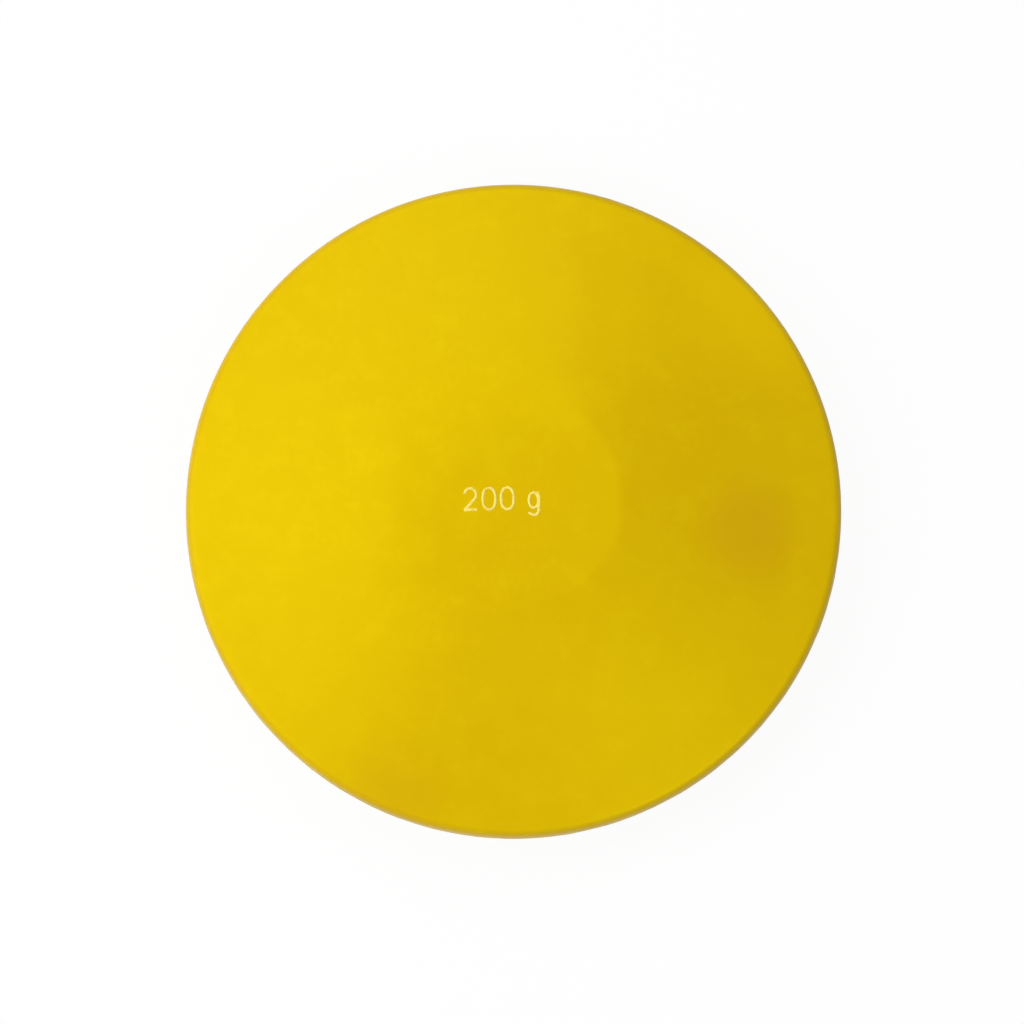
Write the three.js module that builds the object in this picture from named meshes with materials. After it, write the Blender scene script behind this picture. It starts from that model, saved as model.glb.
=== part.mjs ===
import * as THREE from "three";

// A light training discus of moulded rubber, lying on one of its two flats.
// Millimetres, +Z up. The origin is the centre of the lower flat.
// Two covers of solid rubber are bonded at the edge. They enclose a core of expanded
// rubber, and a ring of solid rubber round it that brings the mass out to the edge.

// Outer shape. The diameter leaves out the ridge along the seam.
const DIAMETER = 155;
const THICKNESS = 29;
const FLAT_DIAMETER = 50;
const FLAT_BLEND_RADIUS = 10;
const RIM_WIDTH = 11.5;
const RIM_THICKNESS = 13.6;
const RIM_BLEND_RADIUS = 60;
const EDGE_THICKNESS = 11;
const CORNER_RADIUS = 2.5;
const SIDE_RADIUS = 14;
const SEAM_RIDGE_HEIGHT = 0.25;
const SEAM_RIDGE_WIDTH = 0.9;
const SEAM_RIDGE_TIP_WIDTH = 0.3;

// Covers
const COVER_WALL = 2.2;
const RIM_WALL = 4;
const TONGUE_WIDTH = 1.6;
const TONGUE_HEIGHT = 1.2;
const TONGUE_CLEARANCE = 0.15;
const BOSS_DIAMETER = 36;
const BOSS_HEIGHT = 1.6;

// Ring and core
const RING_WIDTH = 12.5;
const KEY_DEPTH = 2.5;
const KEY_HEIGHT = 4;
const BOND_GAP = 0.3;

// Steps that round shapes are drawn with
const TURN_STEPS = 64;
const SKIN_STEPS = { flat: 3, rim: 2, corner: 5, side: 3 };
const HIDDEN_STEPS = { flat: 1, rim: 1, corner: 1, side: 1 };

// The most of the straight beside it that the rim's blend takes up
const BLEND_LIMIT_SHARE = 0.9;

const EDGE = DIAMETER / 2;
const MIDDLE = THICKNESS / 2;
const CAVITY_EDGE = EDGE - RIM_WALL;
const RING_BORE = CAVITY_EDGE - BOND_GAP - RING_WIDTH;
const LINING = COVER_WALL + BOND_GAP;

// The direction square to the upper side where it slopes down by this angle.
const outwards = (slope) => new THREE.Vector2(Math.sin(slope), Math.cos(slope));

// The centre of the arc that blends two straights, which would meet at the corner.
function blendCentre(corner, slopeBefore, slopeAfter, radius) {
  const before = outwards(slopeBefore);
  const after = outwards(slopeAfter);
  const reach = radius / (1 + before.dot(after));
  return corner.clone().addScaledVector(before.add(after), -reach);
}

// The upper half is four arcs: round the flat, where the cone meets the shallower rim, at
// the rim's corner, and up the bulging side. Straights join the first three, and the
// corner runs on into the side. Places are radius and height over mid-thickness.
function sideArcs() {
  const flatCorner = new THREE.Vector2(FLAT_DIAMETER / 2, MIDDLE);
  const rimStart = new THREE.Vector2(EDGE - RIM_WIDTH, RIM_THICKNESS / 2);
  const cone = rimStart.clone().sub(flatCorner);
  const coneSlope = Math.atan2(-cone.y, cone.x);

  const sideCentre = new THREE.Vector2(EDGE - SIDE_RADIUS, 0);
  const cornerHeight = EDGE_THICKNESS / 2 - CORNER_RADIUS;
  const cornerReach = Math.sqrt((SIDE_RADIUS - CORNER_RADIUS) ** 2 - cornerHeight ** 2);
  const cornerCentre = new THREE.Vector2(sideCentre.x + cornerReach, cornerHeight);
  const sideSlope = Math.atan2(cornerReach, cornerHeight);

  // From the start of the rim a straight runs out, to touch the corner's arc.
  const toCorner = cornerCentre.clone().sub(rimStart);
  const straight = Math.sqrt(toCorner.lengthSq() - CORNER_RADIUS ** 2);
  const rimSlope =
    Math.atan2(-toCorner.y, toCorner.x) - Math.asin(CORNER_RADIUS / toCorner.length());

  const bend = rimSlope - coneSlope;
  const roomForBlend = (BLEND_LIMIT_SHARE * straight) / Math.tan(Math.abs(bend) / 2);
  const rimBlend = Math.sign(bend) * Math.min(RIM_BLEND_RADIUS, roomForBlend);

  return [
    {
      part: "flat",
      centre: blendCentre(flatCorner, 0, coneSlope, FLAT_BLEND_RADIUS),
      radius: FLAT_BLEND_RADIUS,
      from: 0,
      to: coneSlope,
    },
    {
      part: "rim",
      centre: blendCentre(rimStart, coneSlope, rimSlope, rimBlend),
      radius: rimBlend,
      from: coneSlope,
      to: rimSlope,
    },
    {
      part: "corner",
      centre: cornerCentre,
      radius: CORNER_RADIUS,
      from: rimSlope,
      to: sideSlope,
      runsOn: true,
    },
    {
      part: "side",
      centre: sideCentre,
      radius: SIDE_RADIUS,
      from: sideSlope,
      to: Math.acos(SEAM_RIDGE_WIDTH / 2 / SIDE_RADIUS),
    },
  ];
}

const SIDE_ARCS = sideArcs();

// The upper half at a depth under the skin, from the axis out to the seam's ridge. Where
// an arc runs on into the next, their common point is the next one's.
function sideOutline(depth, steps) {
  const arcs = SIDE_ARCS.flatMap(({ part, centre, radius, from, to, runsOn }) =>
    Array.from({ length: runsOn ? steps[part] : steps[part] + 1 }, (_, i) => {
      const slope = THREE.MathUtils.lerp(from, to, i / steps[part]);
      return centre.clone().addScaledVector(outwards(slope), radius - depth);
    }),
  );
  return [new THREE.Vector2(0, MIDDLE - depth), ...arcs];
}

// The part of an outline between two radii, with a point at each of them.
function outlineBetween(outline, innerRadius, outerRadius) {
  const pointAt = (radius) => {
    const next = outline.findIndex((point) => point.x > radius);
    const [a, b] = [outline[next - 1], outline[next]];
    return a.clone().lerp(b, (radius - a.x) / (b.x - a.x));
  };
  const between = outline.filter((point) => point.x > innerRadius && point.x < outerRadius);
  return [pointAt(innerRadius), ...between, pointAt(outerRadius)];
}

const mirrored = (outline) => outline.map((point) => new THREE.Vector2(point.x, -point.y)).reverse();

// A solid of revolution about the discus's axis. Its section is listed clockwise.
function turned(name, section, material) {
  const geometry = new THREE.LatheGeometry([...section].reverse(), TURN_STEPS);
  geometry.rotateX(Math.PI / 2);
  const mesh = new THREE.Mesh(geometry, material);
  mesh.name = name;
  mesh.position.z = MIDDLE;
  return mesh;
}

// The face on which the covers are bonded, from the skin inwards. A step up is a groove
// in the upper cover, and a step down, turned over, is the tongue on the lower one.
function bondedFace(stepWidth, stepHeight) {
  const middle = EDGE - RIM_WALL / 2;
  return [
    new THREE.Vector2(middle + stepWidth / 2, 0),
    new THREE.Vector2(middle + stepWidth / 2, stepHeight),
    new THREE.Vector2(middle - stepWidth / 2, stepHeight),
    new THREE.Vector2(middle - stepWidth / 2, 0),
    new THREE.Vector2(CAVITY_EDGE, 0),
  ];
}

// A cover's section, as the upper one. Its skin ends in half of the low ridge that the
// mould leaves along the seam, and inside a boss backs the flat and locates the core.
function coverSection(face) {
  const ridgeTip = EDGE + SEAM_RIDGE_HEIGHT;
  const bossRadius = BOSS_DIAMETER / 2;
  const bossFace = MIDDLE - COVER_WALL - BOSS_HEIGHT;
  const lining = outlineBetween(sideOutline(COVER_WALL, HIDDEN_STEPS), bossRadius, CAVITY_EDGE);
  return [
    ...sideOutline(0, SKIN_STEPS),
    new THREE.Vector2(ridgeTip, SEAM_RIDGE_TIP_WIDTH / 2),
    new THREE.Vector2(ridgeTip, 0),
    ...face,
    ...lining.reverse(),
    new THREE.Vector2(bossRadius, bossFace),
    new THREE.Vector2(0, bossFace),
  ];
}

const coverRubber = new THREE.MeshStandardMaterial({
  color: 0xddba0c,
  roughness: 0.6,
  metalness: 0,
});

function upperCover() {
  const groove = bondedFace(
    TONGUE_WIDTH + 2 * TONGUE_CLEARANCE,
    TONGUE_HEIGHT + TONGUE_CLEARANCE,
  );
  return turned("upper_cover", coverSection(groove), coverRubber);
}

function lowerCover() {
  const tongue = bondedFace(TONGUE_WIDTH, -TONGUE_HEIGHT);
  return turned("lower_cover", mirrored(coverSection(tongue)), coverRubber);
}

// The ring fills the cavity's edge. A groove in its bore takes the core's key.
function rimRing() {
  const ringRubber = new THREE.MeshStandardMaterial({
    color: 0x2b2a28,
    roughness: 0.8,
    metalness: 0,
  });
  const outline = sideOutline(LINING, HIDDEN_STEPS);
  const top = outlineBetween(outline, RING_BORE, CAVITY_EDGE - BOND_GAP);
  const grooveRadius = RING_BORE + KEY_DEPTH;
  const grooveTop = KEY_HEIGHT / 2 + BOND_GAP;
  const upperHalf = [
    new THREE.Vector2(grooveRadius, grooveTop),
    new THREE.Vector2(RING_BORE, grooveTop),
    ...top,
  ];
  const section = [...upperHalf, ...mirrored(upperHalf), upperHalf[0].clone()];
  return turned("rim_ring", section, ringRubber);
}

// The core fills the rest of the cavity. A pocket in each side takes a cover's boss.
function core() {
  const expandedRubber = new THREE.MeshStandardMaterial({
    color: 0xc9b98a,
    roughness: 0.95,
    metalness: 0,
  });
  const coreEdge = RING_BORE - BOND_GAP;
  const pocketRadius = BOSS_DIAMETER / 2 + BOND_GAP;
  const pocketFloor = MIDDLE - LINING - BOSS_HEIGHT;
  const upperHalf = [
    new THREE.Vector2(0, pocketFloor),
    new THREE.Vector2(pocketRadius, pocketFloor),
    ...outlineBetween(sideOutline(LINING, HIDDEN_STEPS), pocketRadius, coreEdge),
    new THREE.Vector2(coreEdge, KEY_HEIGHT / 2),
    new THREE.Vector2(coreEdge + KEY_DEPTH, KEY_HEIGHT / 2),
  ];
  return turned("core", [...upperHalf, ...mirrored(upperHalf)], expandedRubber);
}

const discus = new THREE.Group();
discus.add(upperCover(), lowerCover(), rimRing(), core());

export default discus;
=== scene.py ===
import math

import bpy
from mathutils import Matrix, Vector


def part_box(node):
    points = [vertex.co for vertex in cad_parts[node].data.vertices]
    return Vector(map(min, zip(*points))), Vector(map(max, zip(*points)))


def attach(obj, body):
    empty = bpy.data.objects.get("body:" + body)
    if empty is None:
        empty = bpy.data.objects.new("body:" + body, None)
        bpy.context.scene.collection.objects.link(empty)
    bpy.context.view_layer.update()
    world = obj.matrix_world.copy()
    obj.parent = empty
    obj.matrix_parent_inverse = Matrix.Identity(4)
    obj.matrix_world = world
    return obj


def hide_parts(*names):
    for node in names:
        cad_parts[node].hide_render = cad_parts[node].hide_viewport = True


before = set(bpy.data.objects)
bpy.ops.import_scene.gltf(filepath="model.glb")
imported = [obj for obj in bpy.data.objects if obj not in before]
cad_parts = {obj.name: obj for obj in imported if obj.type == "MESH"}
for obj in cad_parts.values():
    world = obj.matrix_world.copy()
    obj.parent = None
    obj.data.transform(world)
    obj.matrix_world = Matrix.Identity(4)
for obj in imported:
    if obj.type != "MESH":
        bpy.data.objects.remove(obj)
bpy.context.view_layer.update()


# Core
# A disc of expanded rubber, moulded in one piece, that fills the middle of the discus. The
# ring grips its rim, and the covers' bosses sit in its pockets. None of it shows.

class Value:
    """A number, vector, colour or shader in a node tree. Arithmetic on numbers adds Math nodes."""

    def __init__(self, graph, socket):
        self.graph = graph
        self.socket = socket

    def __add__(self, other):
        return self.graph.math("ADD", self, other)

    def __sub__(self, other):
        return self.graph.math("SUBTRACT", self, other)

    def __rsub__(self, other):
        return self.graph.math("SUBTRACT", other, self)

    def __mul__(self, other):
        return self.graph.math("MULTIPLY", self, other)

    def __truediv__(self, other):
        return self.graph.math("DIVIDE", self, other)

    def __rtruediv__(self, other):
        return self.graph.math("DIVIDE", other, self)

    __radd__ = __add__
    __rmul__ = __mul__

    def between(self, low, high):
        """0 at low and 1 at high, smooth in between and level beyond."""
        inputs = {"Value": self, "From Min": low, "From Max": high}
        return self.graph.add("ShaderNodeMapRange", {"interpolation_type": "SMOOTHSTEP"}, inputs)


class Graph:
    """A node tree that is filled by code."""

    def __init__(self, tree):
        self.tree = tree

    def add(self, kind, settings=None, inputs=None, output=0):
        """Adds a node: its settings first, then the value or link of each socket named."""
        node = self.tree.nodes.new(kind)
        for name, setting in (settings or {}).items():
            setattr(node, name, setting)
        for name, value in (inputs or {}).items():
            socket = self.found(node.inputs, name)
            if isinstance(value, Value):
                self.tree.links.new(value.socket, socket)
            else:
                socket.default_value = value
        return Value(self, self.found(node.outputs, output)) if node.outputs else None

    def found(self, sockets, name):
        """The socket with this number, identifier or name."""
        if isinstance(name, int):
            return sockets[name]
        return next(s for s in sockets if name in (s.identifier, s.name))

    def math(self, operation, *terms):
        """A Math node on these numbers."""
        return self.add("ShaderNodeMath", {"operation": operation}, dict(enumerate(terms)))

    def place(self):
        """The point on the piece that is being shaded."""
        return self.add("ShaderNodeTexCoord", output="Object")

    def clouds(self, size, detail=3.0):
        """Noise from 0 to 1 whose clouds are about this wide."""
        inputs = {"Vector": self.place(), "Scale": 1 / size, "Detail": detail}
        return self.add("ShaderNodeTexNoise", {}, inputs)

    def patch(self, centre, reach, full_share=0.2):
        """1 at a point of the piece and over this share of the reach, fading to 0 at its end."""
        inputs = {0: self.place(), 1: centre}
        settings = {"operation": "DISTANCE"}
        distance = self.add("ShaderNodeVectorMath", settings, inputs, output="Value")
        return 1 - (distance / reach).between(full_share, 1)

    def mixed(self, share, first, second):
        """The first colour where share is 0, and the second where it is 1."""
        inputs = {"Factor_Float": share, "A_Color": first, "B_Color": second}
        return self.add("ShaderNodeMix", {"data_type": "RGBA"}, inputs, output="Result_Color")

    def bumped(self, height, depth=1.0):
        """The surface's direction, bumped by a height in metres or by a share of this depth."""
        return self.add("ShaderNodeBump", {}, {"Height": height, "Distance": depth})


def surface(name, varying, constant):
    """A material. varying(graph) gives what changes over it, and constant what doesn't."""
    made = bpy.data.materials.new(name)
    made.use_nodes = True
    made.node_tree.nodes.clear()
    graph = Graph(made.node_tree)
    shader = graph.add("ShaderNodeBsdfPrincipled", {}, {**constant, **varying(graph)})
    graph.add("ShaderNodeOutputMaterial", {}, {"Surface": shader})
    return made


MM = 0.001
RUBBER_IOR = 1.5
FOAM_LIGHT = (0.62, 0.53, 0.3, 1)
FOAM_SHADE = (0.42, 0.34, 0.17, 1)
CELL_SIZE = 0.9 * MM
CELL_DEPTH = 0.2 * MM
FOAM_CLOUD = 14 * MM
CELL_SHARE = 0.6
CLOUD_SHARE = 0.5
FOAM_ROUGHNESS = 0.85
CELL_ROUGHNESS = 0.1


def expanded_rubber(graph):
    inputs = {"Vector": graph.place(), "Scale": 1 / CELL_SIZE}
    cells = graph.add("ShaderNodeTexVoronoi", {"feature": "SMOOTH_F1"}, inputs)
    shade = cells * CELL_SHARE + graph.clouds(FOAM_CLOUD, detail=2.0) * CLOUD_SHARE
    return {
        "Base Color": graph.mixed(shade, FOAM_SHADE, FOAM_LIGHT),
        "Roughness": FOAM_ROUGHNESS + cells * CELL_ROUGHNESS,
        "Normal": graph.bumped(cells, CELL_DEPTH),
    }


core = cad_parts["core"]
foam = surface("expanded_rubber", expanded_rubber, {"IOR": RUBBER_IOR})
core.material_slots[0].material = foam


# Ring
# Solid black rubber with coarse crumb in it, moulded as one hoop with a groove in its bore.
# It is stretched over the core's key, and brings the mass out to the edge.

RING_BLACK = (0.018, 0.017, 0.016, 1)
CRUMB_GREY = (0.07, 0.066, 0.06, 1)
CRUMB_SIZE = 1.4 * MM
CRUMB_DEPTH = 0.05 * MM
SPECK_SHARES = (0.1, 0.34)
RING_ROUGHNESS = 0.6
CRUMB_ROUGHNESS = 0.3


def crumb_rubber(graph):
    inputs = {"Vector": graph.place(), "Scale": 1 / CRUMB_SIZE}
    crumb = graph.add("ShaderNodeTexVoronoi", {"feature": "F1"}, inputs)
    specks = 1 - crumb.between(*SPECK_SHARES)
    return {
        "Base Color": graph.mixed(specks, RING_BLACK, CRUMB_GREY),
        "Roughness": RING_ROUGHNESS + crumb * CRUMB_ROUGHNESS,
        "Normal": graph.bumped(crumb, CRUMB_DEPTH),
    }


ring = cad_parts["rim_ring"]
black_rubber = surface("crumb_rubber", crumb_rubber, {"IOR": RUBBER_IOR})
ring.material_slots[0].material = black_rubber


# Covers
# Two halves of one yellow rubber compound, each pressed in a mould that leaves a satin skin
# with a faint swell. They are bonded along a tongue and groove at mid-height, and the rubber
# that this squeezes out is trimmed to a low ridge. Its colour has a painted highlight on the
# upper right of the rim, and painted shade in two patches, on the right and the lower left.

seam_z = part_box("upper_cover")[0].z
half_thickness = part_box("upper_cover")[1].z - seam_z
RIDGE_HEIGHT = 0.25 * MM
RIDGE_WIDTH = 0.9 * MM
RIDGE_TIP_WIDTH = 0.3 * MM
RIDGE_NOTCH = 0.06 * MM
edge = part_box("upper_cover")[1].x - RIDGE_HEIGHT

FLAT_RADIUS = 25 * MM
FLAT_BLEND_RADIUS = 10 * MM
RIM_WIDTH = 11.5 * MM
RIM_HEIGHT = 6.8 * MM
RIM_BLEND_RADIUS = 60 * MM
EDGE_HEIGHT = 5.5 * MM
CORNER_RADIUS = 2.5 * MM
SIDE_RADIUS = 14 * MM

COVER_WALL = 2.2 * MM
RIM_WALL = 4 * MM
TONGUE_WIDTH = 1.6 * MM
TONGUE_HEIGHT = 1.2 * MM
TONGUE_CLEARANCE = 0.15 * MM
BOSS_RADIUS = 18 * MM
BOSS_HEIGHT = 1.6 * MM

LONGEST_STEP = 1.5 * MM
STEPS_ROUND = 288
FLAT_STEPS = 12
RIM_STEPS = 6
CORNER_STEPS = 20
SIDE_STEPS = 10


def outwards(slope):
    """The direction square to the skin where it slopes down by this angle."""
    return Vector((math.sin(slope), 0, math.cos(slope)))


def blend_centre(corner, before, after, radius):
    """The centre of the arc that blends two straights with these slopes at a corner."""
    sides = outwards(before) + outwards(after)
    return corner - sides * radius / (1 + outwards(before).dot(outwards(after)))


def arc(centre, radius, start, end, steps):
    """Points of the skin on an arc: its centre and radius, and the slope at each point."""
    return [(centre, radius, start + (end - start) * i / steps) for i in range(steps + 1)]


flat_corner = Vector((FLAT_RADIUS, 0, half_thickness))
rim_start = Vector((edge - RIM_WIDTH, 0, RIM_HEIGHT))
cone = rim_start - flat_corner
cone_slope = math.atan2(-cone.z, cone.x)

corner_height = EDGE_HEIGHT - CORNER_RADIUS
corner_reach = math.sqrt((SIDE_RADIUS - CORNER_RADIUS) ** 2 - corner_height ** 2)
side_centre = Vector((edge - SIDE_RADIUS, 0, 0))
corner_centre = side_centre + Vector((corner_reach, 0, corner_height))
to_corner = corner_centre - rim_start
rim_slope = math.atan2(-to_corner.z, to_corner.x) - math.asin(CORNER_RADIUS / to_corner.length)
side_slope = math.atan2(corner_reach, corner_height)
ridge_slope = math.acos(RIDGE_WIDTH / 2 / SIDE_RADIUS)

# The rim is shallower than the cone, so the arc that blends them is hollow.
flat_centre = blend_centre(flat_corner, 0, cone_slope, FLAT_BLEND_RADIUS)
rim_centre = blend_centre(rim_start, cone_slope, rim_slope, -RIM_BLEND_RADIUS)
skin_arcs = [
    *arc(flat_centre, FLAT_BLEND_RADIUS, 0, cone_slope, FLAT_STEPS),
    *arc(rim_centre, -RIM_BLEND_RADIUS, cone_slope, rim_slope, RIM_STEPS),
    *arc(corner_centre, CORNER_RADIUS, rim_slope, side_slope, CORNER_STEPS)[:-1],
    *arc(side_centre, SIDE_RADIUS, side_slope, ridge_slope, SIDE_STEPS),
]


def side_outline(depth):
    """The upper half at a depth under the skin, from the axis to the seam's ridge."""
    on_arcs = [centre + outwards(slope) * (radius - depth) for centre, radius, slope in skin_arcs]
    return [Vector((0, 0, half_thickness - depth)), *on_arcs]


def in_short_steps(points):
    """The same line, with points added where two are far apart."""
    line = points[:1]
    for a, b in zip(points, points[1:]):
        parts = math.ceil((b - a).length / LONGEST_STEP)
        line += [a.lerp(b, i / parts) for i in range(1, parts + 1)]
    return line


def point_at(outline, radius):
    """The point of an outline at a radius."""
    a, b = next((a, b) for a, b in zip(outline, outline[1:]) if b.x > radius)
    return a.lerp(b, (radius - a.x) / (b.x - a.x))


def cover_section(tongue_width, tongue_height):
    """Half of an upper cover's section, as its skin, its ridge and its inside."""
    skin = in_short_steps(side_outline(0))
    tip = edge + RIDGE_HEIGHT
    ridge = [Vector((tip, 0, RIDGE_TIP_WIDTH / 2)), Vector((tip - RIDGE_NOTCH, 0, 0))]
    middle = edge - RIM_WALL / 2
    cavity = edge - RIM_WALL
    lining = side_outline(COVER_WALL)
    ceiling = [p for p in lining if BOSS_RADIUS < p.x < cavity]
    boss = half_thickness - COVER_WALL - BOSS_HEIGHT
    inside = [
        Vector((middle + tongue_width / 2, 0, 0)),
        Vector((middle + tongue_width / 2, 0, tongue_height)),
        Vector((middle - tongue_width / 2, 0, tongue_height)),
        Vector((middle - tongue_width / 2, 0, 0)),
        Vector((cavity, 0, 0)),
        point_at(lining, cavity),
        *reversed(ceiling),
        point_at(lining, BOSS_RADIUS),
        Vector((BOSS_RADIUS, 0, boss)),
        Vector((0, 0, boss)),
    ]
    return skin, ridge, inside


SWELL_HEIGHT = 0.05 * MM
SWELL_WIDTH = 22 * MM
SWELL_BORDER = 12 * MM


def swell_share(point):
    """How freely the skin swells: not on the flat, and not at the seam, where halves meet."""
    from_flat = min(max((point.x - FLAT_RADIUS) / SWELL_BORDER, 0), 1)
    from_seam = min(max(point.z / EDGE_HEIGHT, 0), 1)
    return from_flat * from_seam


SINK_REACH = 12 * MM
SUNK_AZIMUTH = math.radians(155)
SUNK_EDGE_COSINE = 0.4
TRIM_DEPTH = 0.08 * MM
TRIM_LENGTH = 4 * MM
TRIM_SHARES = (0.3, 0.7)
TRIM_SEED = 0.0


def blended_drop(radius, reach):
    """How far the skin lies under the flat, if the blend into the cone reaches this far."""
    within = min(max((radius - FLAT_RADIUS + reach) / (2 * reach), 0), 1)
    beyond = max(radius - FLAT_RADIUS - reach, 0)
    return math.tan(cone_slope) * (reach * within ** 2 + beyond)


def sink_depth(point):
    """How much lower the skin lies where the rubber round the flat has sunk."""
    blend_reach = FLAT_BLEND_RADIUS * math.tan(cone_slope / 2)
    return blended_drop(point.x, SINK_REACH) - blended_drop(point.x, blend_reach)


def section_mesh(name, parts, upside):
    """A section as a line of points. It holds how far each may swell, sink or be trimmed."""
    skin, ridge, inside = parts
    rows = [(p, swell_share(p), sink_depth(p), 0) for p in skin]
    rows += [(p, 0, 0, 1) for p in ridge]
    rows += [(p, 0, 0, 0) for p in inside]
    if upside < 0:
        rows.reverse()
    places = [(p.x, 0, seam_z + upside * p.z) for p, _, _, _ in rows]
    mesh = bpy.data.meshes.new(name)
    mesh.from_pydata(places, [(i, i + 1) for i in range(len(places) - 1)], [])
    for label, column in (("swell", 1), ("sink", 2), ("ridge", 3)):
        shares = mesh.attributes.new(label, "FLOAT", "POINT")
        shares.data.foreach_set("value", [row[column] for row in rows])
    return mesh


def node_group(name, sizes):
    """A Geometry Nodes tree whose inputs are a mesh and the sizes named."""
    tree = bpy.data.node_groups.new(name, "GeometryNodeTree")
    tree.interface.new_socket("Geometry", in_out="INPUT", socket_type="NodeSocketGeometry")
    tree.interface.new_socket("Geometry", in_out="OUTPUT", socket_type="NodeSocketGeometry")
    for label, kind in sizes.items():
        tree.interface.new_socket(label, in_out="INPUT", socket_type=kind)
    graph = Graph(tree)
    entry = tree.nodes.new("NodeGroupInput")
    return graph, {socket.name: Value(graph, socket) for socket in entry.outputs if socket.name}


def made_by(graph, mesh, name, settings):
    """The tree's result on a mesh, as a plain mesh object."""
    holder = bpy.data.objects.new(name + "_source", mesh)
    bpy.context.scene.collection.objects.link(holder)
    modifier = holder.modifiers.new("shape", "NODES")
    modifier.node_group = graph.tree
    for item in graph.tree.interface.items_tree:
        if item.in_out == "INPUT" and item.name in settings:
            modifier[item.identifier] = settings[item.name]
    evaluated = holder.evaluated_get(bpy.context.evaluated_depsgraph_get())
    piece = bpy.data.objects.new(name, bpy.data.meshes.new_from_object(evaluated))
    bpy.context.scene.collection.objects.link(piece)
    bpy.data.objects.remove(holder)
    return piece


def turned_cover():
    """The tree that turns a cover's section about the axis, then swells, sinks and trims it."""
    graph, given = node_group("turned_cover", {
        "Steps": "NodeSocketInt",
        "Swell height": "NodeSocketFloat",
        "Swell width": "NodeSocketFloat",
        "Sink": "NodeSocketFloat",
        "Sunk side": "NodeSocketVector",
        "Sunk edge": "NodeSocketFloat",
        "Trim depth": "NodeSocketFloat",
        "Trim length": "NodeSocketFloat",
        "Seed": "NodeSocketFloat",
        "Weld distance": "NodeSocketFloat",
        "Rubber": "NodeSocketMaterial",
    })
    section = given["Geometry"]
    count = graph.add("GeometryNodeAttributeDomainSize", {}, {"Geometry": section})
    sheet = graph.add("GeometryNodeMeshGrid", {}, {
        "Vertices X": given["Steps"] + 1,
        "Vertices Y": count,
    })
    index = graph.add("GeometryNodeInputIndex")
    sections = index / count
    turn = graph.math("FLOOR", sections)
    along = index - turn * count

    def from_section(value, kind):
        inputs = {"Geometry": section, "Value": value, "Index": along}
        return graph.add("GeometryNodeSampleIndex", {"data_type": kind}, inputs)

    def kept(geometry, label):
        settings = {"data_type": "FLOAT"}
        named = graph.add("GeometryNodeInputNamedAttribute", settings, {"Name": label})
        inputs = {"Geometry": geometry, "Name": label, "Value": from_section(named, "FLOAT")}
        return graph.add("GeometryNodeStoreNamedAttribute", settings, inputs), named

    place = graph.add("GeometryNodeInputPosition")
    turned_place = graph.add("ShaderNodeVectorRotate", {"rotation_type": "Z_AXIS"}, {
        "Vector": from_section(place, "FLOAT_VECTOR"),
        "Angle": turn / given["Steps"] * math.tau,
    })
    shape, swell = kept(sheet, "swell")
    shape, sink = kept(shape, "sink")
    shape, ridge = kept(shape, "ridge")
    inputs = {"Geometry": shape, "Position": turned_place}
    shape = graph.add("GeometryNodeSetPosition", {}, inputs)
    inputs = {"Geometry": shape, "Distance": given["Weld distance"]}
    shape = graph.add("GeometryNodeMergeByDistance", {}, inputs)

    def noise(size, seed):
        inputs = {"Vector": place, "W": seed, "Scale": 1 / size}
        return graph.add("ShaderNodeTexNoise", {"noise_dimensions": "4D"}, inputs)

    def moved(geometry, direction, distance):
        inputs = {0: direction, "Scale": distance}
        offset = graph.add("ShaderNodeVectorMath", {"operation": "SCALE"}, inputs)
        return graph.add("GeometryNodeSetPosition", {}, {"Geometry": geometry, "Offset": offset})

    lumps = noise(given["Swell width"], given["Seed"]) * 2 - 1
    skinwards = graph.add("GeometryNodeInputNormal")
    shape = moved(shape, skinwards, lumps * swell * given["Swell height"])
    level = graph.add("ShaderNodeVectorMath", {"operation": "MULTIPLY"}, {0: place, 1: (1, 1, 0)})
    from_axis = graph.add("ShaderNodeVectorMath", {"operation": "NORMALIZE"}, {0: level})
    inputs = {0: from_axis, 1: given["Sunk side"]}
    settings = {"operation": "DOT_PRODUCT"}
    towards = graph.add("ShaderNodeVectorMath", settings, inputs, output="Value")
    sunk = towards.between(given["Sunk edge"] * -1, given["Sunk edge"])
    shape = moved(shape, (0, 0, -1), sunk * sink * given["Sink"])
    cut = noise(given["Trim length"], TRIM_SEED).between(*TRIM_SHARES)
    shape = moved(shape, from_axis, cut * ridge * given["Trim depth"] * -1)
    shape = graph.add("GeometryNodeSetShadeSmooth", {}, {"Geometry": shape})
    shape = graph.add("GeometryNodeRealizeInstances", {}, {"Geometry": shape})
    inputs = {"Geometry": shape, "Material": given["Rubber"]}
    shape = graph.add("GeometryNodeSetMaterial", {}, inputs)
    graph.add("NodeGroupOutput", {}, {"Geometry": shape})
    return graph


RUBBER_YELLOW = (0.651, 0.42, 0.0016, 1)
RUBBER_AMBER = (0.635, 0.404, 0.0014, 1)
RUBBER_LEMON = (0.67, 0.443, 0.002, 1)
STREAK_SIZE = 34 * MM
STREAK_SHARES = (0.3, 0.7)
MOTTLE_SIZE = 7 * MM
FLECK_SIZE = 1.8 * MM
FLECK_SHARE = 0.4
SPOT_SHARES = (0.4, 0.75)
RUBBER_TRIMMED = (0.7, 0.48, 0.012, 1)
TRIMMED_SHARE = 0.7
# Painted highlight: a paler tone round a point on the upper right of the rim, standing in for
# sheen.
RUBBER_PAINTED_SHEEN = (0.698, 0.452, 0.0022, 1)
PAINTED_SHEEN_RIGHT = (59 * MM, 47 * MM, 20 * MM)
PAINTED_SHEEN_REACH = 28 * MM
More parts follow.
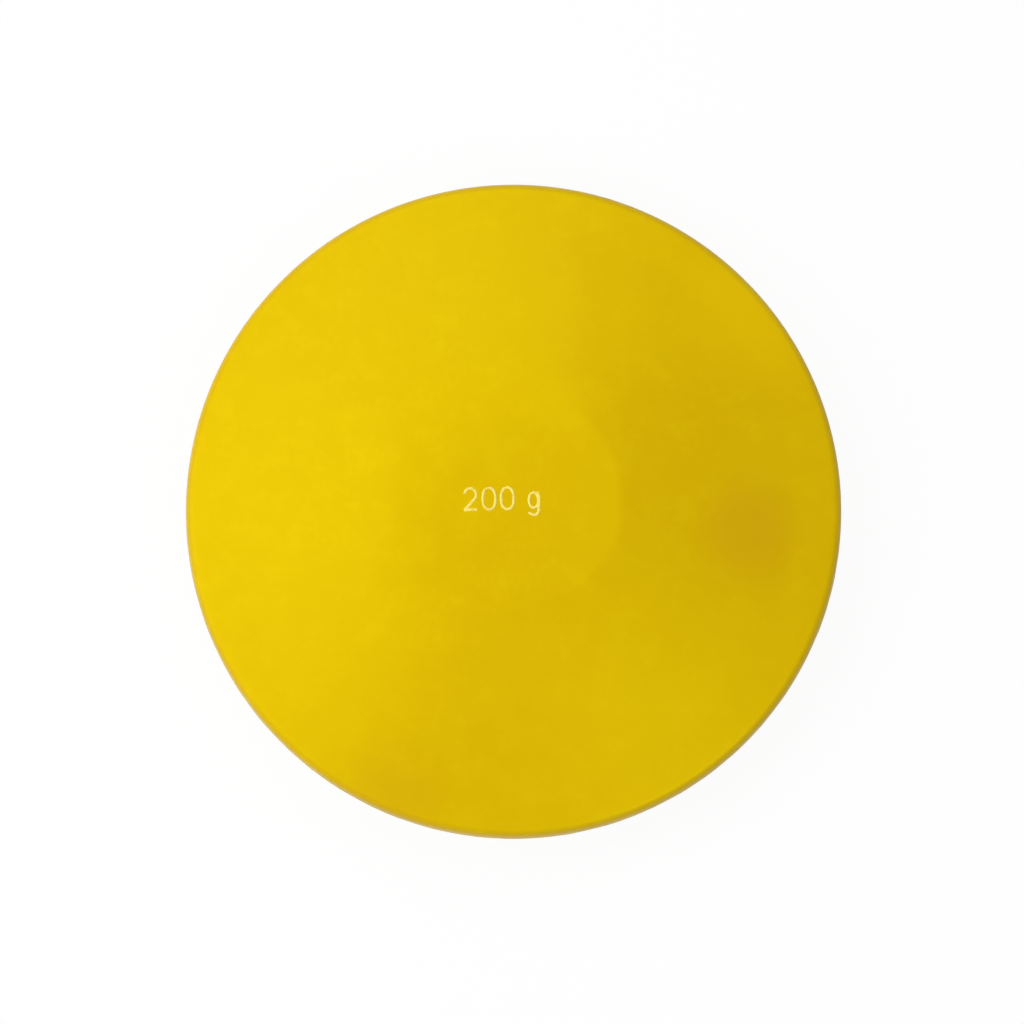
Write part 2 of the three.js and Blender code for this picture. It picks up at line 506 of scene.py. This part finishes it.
# Painted shade: darker, greyer rubber in two patches, on the right of the cone and on the lower
# left of the rim.
RUBBER_PAINTED_SHADE = (0.6, 0.355, 0.004, 1)
PAINTED_SHADE_RIGHT = (54.5 * MM, -6 * MM, 23.5 * MM)
PAINTED_SHADE_LEFT = (-28 * MM, -68 * MM, 20 * MM)
PAINTED_SHADE_REACH = 17 * MM
PAINTED_SHADE_SHARE = 0.8
LEFT_PAINTED_SHADE_SHARE = 0.6
PEEL_SIZE = 1.6 * MM
PEEL_DEPTH = 0.018 * MM
GRAIN_SIZE = 0.35 * MM
GRAIN_DEPTH = 0.005 * MM
SATIN_ROUGHNESS = 0.3
MOTTLE_ROUGHNESS = 0.05
GRAIN_ROUGHNESS = 0.03
TRIMMED_ROUGHNESS = 0.3
SHEEN_TINT = (1.0, 1.0, 0.0, 1)


def moulded_rubber(graph):
    streaks = graph.clouds(STREAK_SIZE)
    mottle = graph.clouds(MOTTLE_SIZE)
    flecks = graph.clouds(FLECK_SIZE)
    grain = graph.clouds(GRAIN_SIZE)
    peel = graph.clouds(PEEL_SIZE, detail=2.0)
    trimmed = graph.add("ShaderNodeAttribute", {"attribute_name": "ridge"}, output="Fac")
    tone = graph.mixed(streaks.between(*STREAK_SHARES), RUBBER_AMBER, RUBBER_YELLOW)
    spots = mottle * (1 - FLECK_SHARE) + flecks * FLECK_SHARE
    tone = graph.mixed(spots.between(*SPOT_SHARES), tone, RUBBER_LEMON)
    # Paints the highlight: the skin is paler round that point on the upper right of the rim.
    tone = graph.mixed(graph.patch(PAINTED_SHEEN_RIGHT, PAINTED_SHEEN_REACH), tone, RUBBER_PAINTED_SHEEN)
    # Paints shade into the colour in those two patches, weaker on the lower left.
    left_painted_shade = graph.patch(PAINTED_SHADE_LEFT, PAINTED_SHADE_REACH) * LEFT_PAINTED_SHADE_SHARE
    painted_shades = graph.patch(PAINTED_SHADE_RIGHT, PAINTED_SHADE_REACH) + left_painted_shade
    tone = graph.mixed(painted_shades * PAINTED_SHADE_SHARE, tone, RUBBER_PAINTED_SHADE)
    roughness = SATIN_ROUGHNESS + mottle * MOTTLE_ROUGHNESS + grain * GRAIN_ROUGHNESS
    return {
        "Base Color": graph.mixed(trimmed * TRIMMED_SHARE, tone, RUBBER_TRIMMED),
        "Roughness": roughness + trimmed * TRIMMED_ROUGHNESS,
        "Normal": graph.bumped(peel * PEEL_DEPTH + grain * GRAIN_DEPTH),
    }


yellow_rubber = surface("moulded_rubber", moulded_rubber, {
    "IOR": RUBBER_IOR,
    "Specular Tint": SHEEN_TINT,
})

LOWER_SEED = 4.0
UPPER_SEED = 9.0
WELD_DISTANCE = 0.001 * MM
SHARP_ANGLE = math.radians(28)

groove_width = TONGUE_WIDTH + 2 * TONGUE_CLEARANCE
groove_depth = TONGUE_HEIGHT + TONGUE_CLEARANCE
cover_shape = turned_cover()
for node, step_width, step_height, upside, sink, seed in (
    ("lower_cover", TONGUE_WIDTH, -TONGUE_HEIGHT, -1, 0.0, LOWER_SEED),
    ("upper_cover", groove_width, groove_depth, 1, 1.0, UPPER_SEED),
):
    name = "moulded_" + node
    section = section_mesh(name + "_section", cover_section(step_width, step_height), upside)
    cover = made_by(cover_shape, section, name, {
        "Steps": STEPS_ROUND,
        "Swell height": SWELL_HEIGHT,
        "Swell width": SWELL_WIDTH,
        "Sink": sink,
        "Sunk side": (math.cos(SUNK_AZIMUTH), math.sin(SUNK_AZIMUTH), 0),
        "Sunk edge": SUNK_EDGE_COSINE,
        "Trim depth": TRIM_DEPTH,
        "Trim length": TRIM_LENGTH,
        "Weld distance": WELD_DISTANCE,
        "Seed": seed,
        "Rubber": yellow_rubber,
    })
    cover.data.set_sharp_from_angle(angle=SHARP_ANGLE)
    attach(cover, "root")
    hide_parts(node)


# Weight mark
# A number and its unit in plain figures, screen-printed in pale ink on the upper flat. The
# film is a few hundredths of a millimetre thick, and a little thin in places.

FIGURE_HEIGHT = 5.5 * MM
STROKE_WIDTH = 0.66 * MM
INK_THICKNESS = 0.03 * MM
INK_SINK = 0.01 * MM
MARK_LEFT = -11.5 * MM
MARK_BASE = -2.25 * MM
MARK_TURN = math.radians(1.2)


def oval(centre, half_width, half_height, start=0.0, end=360.0, squareness=2.0, steps=48):
    """Points on an oval between two angles. Over 2, squareness fills out its corners."""
    points = []
    for i in range(steps + 1):
        angle = math.radians(start + (end - start) * i / steps)
        c, s = math.cos(angle), math.sin(angle)
        x = math.copysign(abs(c) ** (2 / squareness), c)
        y = math.copysign(abs(s) ** (2 / squareness), s)
        points.append((centre[0] + half_width * x, centre[1] + half_height * y))
    return points


# A figure's strokes are lists of points, in shares of the figures' height.
NOUGHT_SHARES = [oval((0.33, 0.5), 0.265, 0.45, squareness=2.3)]
TWO_SHARES = [
    oval((0.31, 0.68), 0.24, 0.27, 172, -30) + [(0.06, 0.05)],
    [(0.02, 0.05), (0.57, 0.05)],
]
SMALL_G_SHARES = [
    oval((0.26, 0.4), 0.195, 0.32),
    [(0.465, 0.75), (0.465, 0.06)] + oval((0.265, -0.04), 0.2, 0.17, 0, -165),
]
FIGURE_SHARES = (
    (0, TWO_SHARES),
    (0.76, NOUGHT_SHARES),
    (1.52, NOUGHT_SHARES),
    (2.68, SMALL_G_SHARES),
)


def mark_mesh():
    """The centre lines of the mark's strokes, on the upper flat."""
    places, edges = [], []
    for left, strokes in FIGURE_SHARES:
        for stroke in strokes:
            first = len(places)
            places += [(left + x, y, 0) for x, y in stroke]
            edges += [(i, i + 1) for i in range(first, len(places) - 1)]
    mesh = bpy.data.meshes.new("weight_mark_lines")
    mesh.from_pydata(places, edges, [])
    return mesh


INK_CREAM = (0.92, 0.73, 0.14, 1)
INK_THIN = (0.83, 0.61, 0.06, 1)
INK_PATCH = 1.1 * MM
INK_SHARES = (0.3, 0.5)
INK_ROUGHNESS = 0.4
PATCH_ROUGHNESS = 0.15
INK_IOR = 1.5
INK_SHEEN = 0.3


def printed_ink(graph):
    cover = graph.clouds(INK_PATCH)
    return {
        "Base Color": graph.mixed(cover.between(*INK_SHARES), INK_THIN, INK_CREAM),
        "Roughness": INK_ROUGHNESS + cover * PATCH_ROUGHNESS,
    }


def printed_strokes():
    """The tree that lays a flat ribbon of ink along each line."""
    graph, given = node_group("printed_strokes", {
        "Scale": "NodeSocketFloat",
        "Corner": "NodeSocketVector",
        "Turn": "NodeSocketVector",
        "Width": "NodeSocketFloat",
        "Thickness": "NodeSocketFloat",
        "Ink": "NodeSocketMaterial",
    })
    scale = graph.add("ShaderNodeCombineXYZ", {}, dict.fromkeys(range(3), given["Scale"]))
    lines = graph.add("GeometryNodeTransform", {}, {
        "Geometry": given["Geometry"],
        "Translation": given["Corner"],
        "Rotation": given["Turn"],
        "Scale": scale,
    })
    lines = graph.add("GeometryNodeMeshToCurve", {}, {"Mesh": lines})
    lines = graph.add("GeometryNodeSetCurveNormal", {"mode": "Z_UP"}, {"Curve": lines})
    ribbon = graph.add("GeometryNodeCurvePrimitiveQuadrilateral", {}, {
        "Width": given["Width"],
        "Height": given["Thickness"],
    })
    inputs = {"Curve": lines, "Profile Curve": ribbon, "Fill Caps": True}
    strokes = graph.add("GeometryNodeCurveToMesh", {}, inputs)
    inputs = {"Mesh 2": strokes, "Self Intersection": True}
    film = graph.add("GeometryNodeMeshBoolean", {"operation": "UNION", "solver": "EXACT"}, inputs)
    film = graph.add("GeometryNodeRealizeInstances", {}, {"Geometry": film})
    film = graph.add("GeometryNodeSetMaterial", {}, {"Geometry": film, "Material": given["Ink"]})
    graph.add("NodeGroupOutput", {}, {"Geometry": film})
    return graph


flat_z = seam_z + half_thickness
mark = made_by(printed_strokes(), mark_mesh(), "weight_mark", {
    "Scale": FIGURE_HEIGHT,
    "Corner": (MARK_LEFT, MARK_BASE, flat_z + INK_THICKNESS / 2 - INK_SINK),
    "Turn": (0, 0, MARK_TURN),
    "Width": STROKE_WIDTH,
    "Thickness": INK_THICKNESS,
    "Ink": surface("printed_ink", printed_ink, {"IOR": INK_IOR, "Specular IOR Level": INK_SHEEN}),
})
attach(mark, "root")


# Floor
# A wide sheet of white card that the discus lies on. The camera sees it white, with a faint
# shadow. Reflections see more of its shadow, so that the underside isn't lit up by them.

WHITE = (1, 1, 1, 1)
FLOOR_WIDTH = 1.8
FLOOR_WHITE = (0.9, 0.9, 0.9, 1)
SHADOW_SHARE = 0.06
REFLECTED_SHADOW_SHARE = 0.85


def lookers(graph):
    """1 where the camera or a clear piece looks at the surface, and 1 where a reflection does."""
    rays = ("Is Camera Ray", "Is Transmission Ray", "Is Glossy Ray")
    camera, clear, glossy = (graph.add("ShaderNodeLightPath", output=ray) for ray in rays)
    return graph.math("MAXIMUM", camera, clear), glossy


card = bpy.data.materials.new("white_card")
card.use_nodes = True
card.node_tree.nodes.clear()
graph = Graph(card.node_tree)
paper = graph.add("ShaderNodeBsdfDiffuse", {}, {"Color": FLOOR_WHITE})
glow = graph.add("ShaderNodeEmission", {}, {"Color": WHITE, "Strength": 1.0})
direct, reflected = lookers(graph)
share = direct * (1 - SHADOW_SHARE)
share = graph.math("MAXIMUM", share, reflected * (1 - REFLECTED_SHADOW_SHARE))
lit = graph.add("ShaderNodeMixShader", {}, {0: share, 1: paper, 2: glow})
graph.add("ShaderNodeOutputMaterial", {}, {"Surface": lit})

floor_mesh = bpy.data.meshes.new("floor")
half = FLOOR_WIDTH / 2
corners = [(-half, -half, 0), (half, -half, 0), (half, half, 0), (-half, half, 0)]
floor_mesh.from_pydata(corners, [], [(0, 1, 2, 3)])
floor = bpy.data.objects.new("floor", floor_mesh)
bpy.context.scene.collection.objects.link(floor)
floor_mesh.materials.append(card)


# Light
# A large soft box on the left, one behind, a small one that fills in from the front right,
# and an even glow. Nothing shines from the right, so the sheen is weakest there.

GLOW_STRENGTH = 0.122

world = bpy.data.worlds.new("studio")
world.use_nodes = True
world.node_tree.nodes.clear()
graph = Graph(world.node_tree)
inputs = {"Color": WHITE, "Strength": GLOW_STRENGTH}
glow_round = graph.add("ShaderNodeBackground", {}, inputs)
backdrop = graph.add("ShaderNodeBackground", {}, {"Color": WHITE, "Strength": 1.0})
direct, reflected = lookers(graph)
inputs = {0: graph.math("MAXIMUM", direct, reflected), 1: glow_round, 2: backdrop}
sky = graph.add("ShaderNodeMixShader", {}, inputs)
graph.add("ShaderNodeOutputWorld", {}, {"Surface": sky})
bpy.context.scene.world = world

middle = Vector((0, 0, seam_z))


def soft_box(name, azimuth, height, distance, size, watts):
    """A square area light that faces the discus, in a direction in degrees."""
    azimuth, height = math.radians(azimuth), math.radians(height)
    lamp = bpy.data.lights.new(name, "AREA")
    lamp.shape = "SQUARE"
    lamp.size = size
    lamp.energy = watts
    away = Vector((
        math.cos(azimuth) * math.cos(height),
        math.sin(azimuth) * math.cos(height),
        math.sin(height),
    ))
    placed = bpy.data.objects.new(name, lamp)
    placed.location = middle + away * distance
    placed.rotation_mode = "QUATERNION"
    placed.rotation_quaternion = away.to_track_quat("Z", "Y")
    placed.visible_camera = False
    bpy.context.scene.collection.objects.link(placed)


soft_box("key", azimuth=191, height=46, distance=0.77, size=0.62, watts=3.66)
soft_box("behind", azimuth=115, height=55, distance=0.69, size=0.61, watts=2.67)
soft_box("front", azimuth=305, height=49, distance=0.91, size=0.42, watts=2.2)


# Camera
# Almost straight above the discus, as in the photograph, at arm's length. The discus has the
# width and the place in the picture that it has in the photograph.

PHOTO_SIDE = 1024
PHOTO_DISCUS_WIDTH = 655.4
PHOTO_DISCUS_CENTRE = (513.5, 512.3)
CAMERA_TILT = math.radians(4.9)
LENS = 60.0
SENSOR = 36.0

pixel = 2 * (edge + RIDGE_HEIGHT) / PHOTO_DISCUS_WIDTH
distance = PHOTO_SIDE * pixel * LENS / SENSOR
camera_data = bpy.data.cameras.new("camera")
camera_data.lens = LENS
camera_data.sensor_width = SENSOR
camera = bpy.data.objects.new("camera", camera_data)
bpy.context.scene.collection.objects.link(camera)
back = Vector((0, -math.sin(CAMERA_TILT), math.cos(CAMERA_TILT)))
up = Vector((0, math.cos(CAMERA_TILT), math.sin(CAMERA_TILT)))

# The near half of a tilted circle looks larger, so its outline's middle lies below its own.
lean = edge ** 2 * math.sin(CAMERA_TILT) * math.cos(CAMERA_TILT) / distance
aside = Vector((PHOTO_SIDE / 2 - PHOTO_DISCUS_CENTRE[0], 0, 0)) * pixel
aside += up * ((PHOTO_DISCUS_CENTRE[1] - PHOTO_SIDE / 2) * pixel - lean)
camera.location = middle + aside + back * distance
camera.rotation_mode = "QUATERNION"
camera.rotation_quaternion = back.to_track_quat("Z", "Y")
bpy.context.scene.camera = camera
bpy.context.scene.view_settings.view_transform = "Standard"
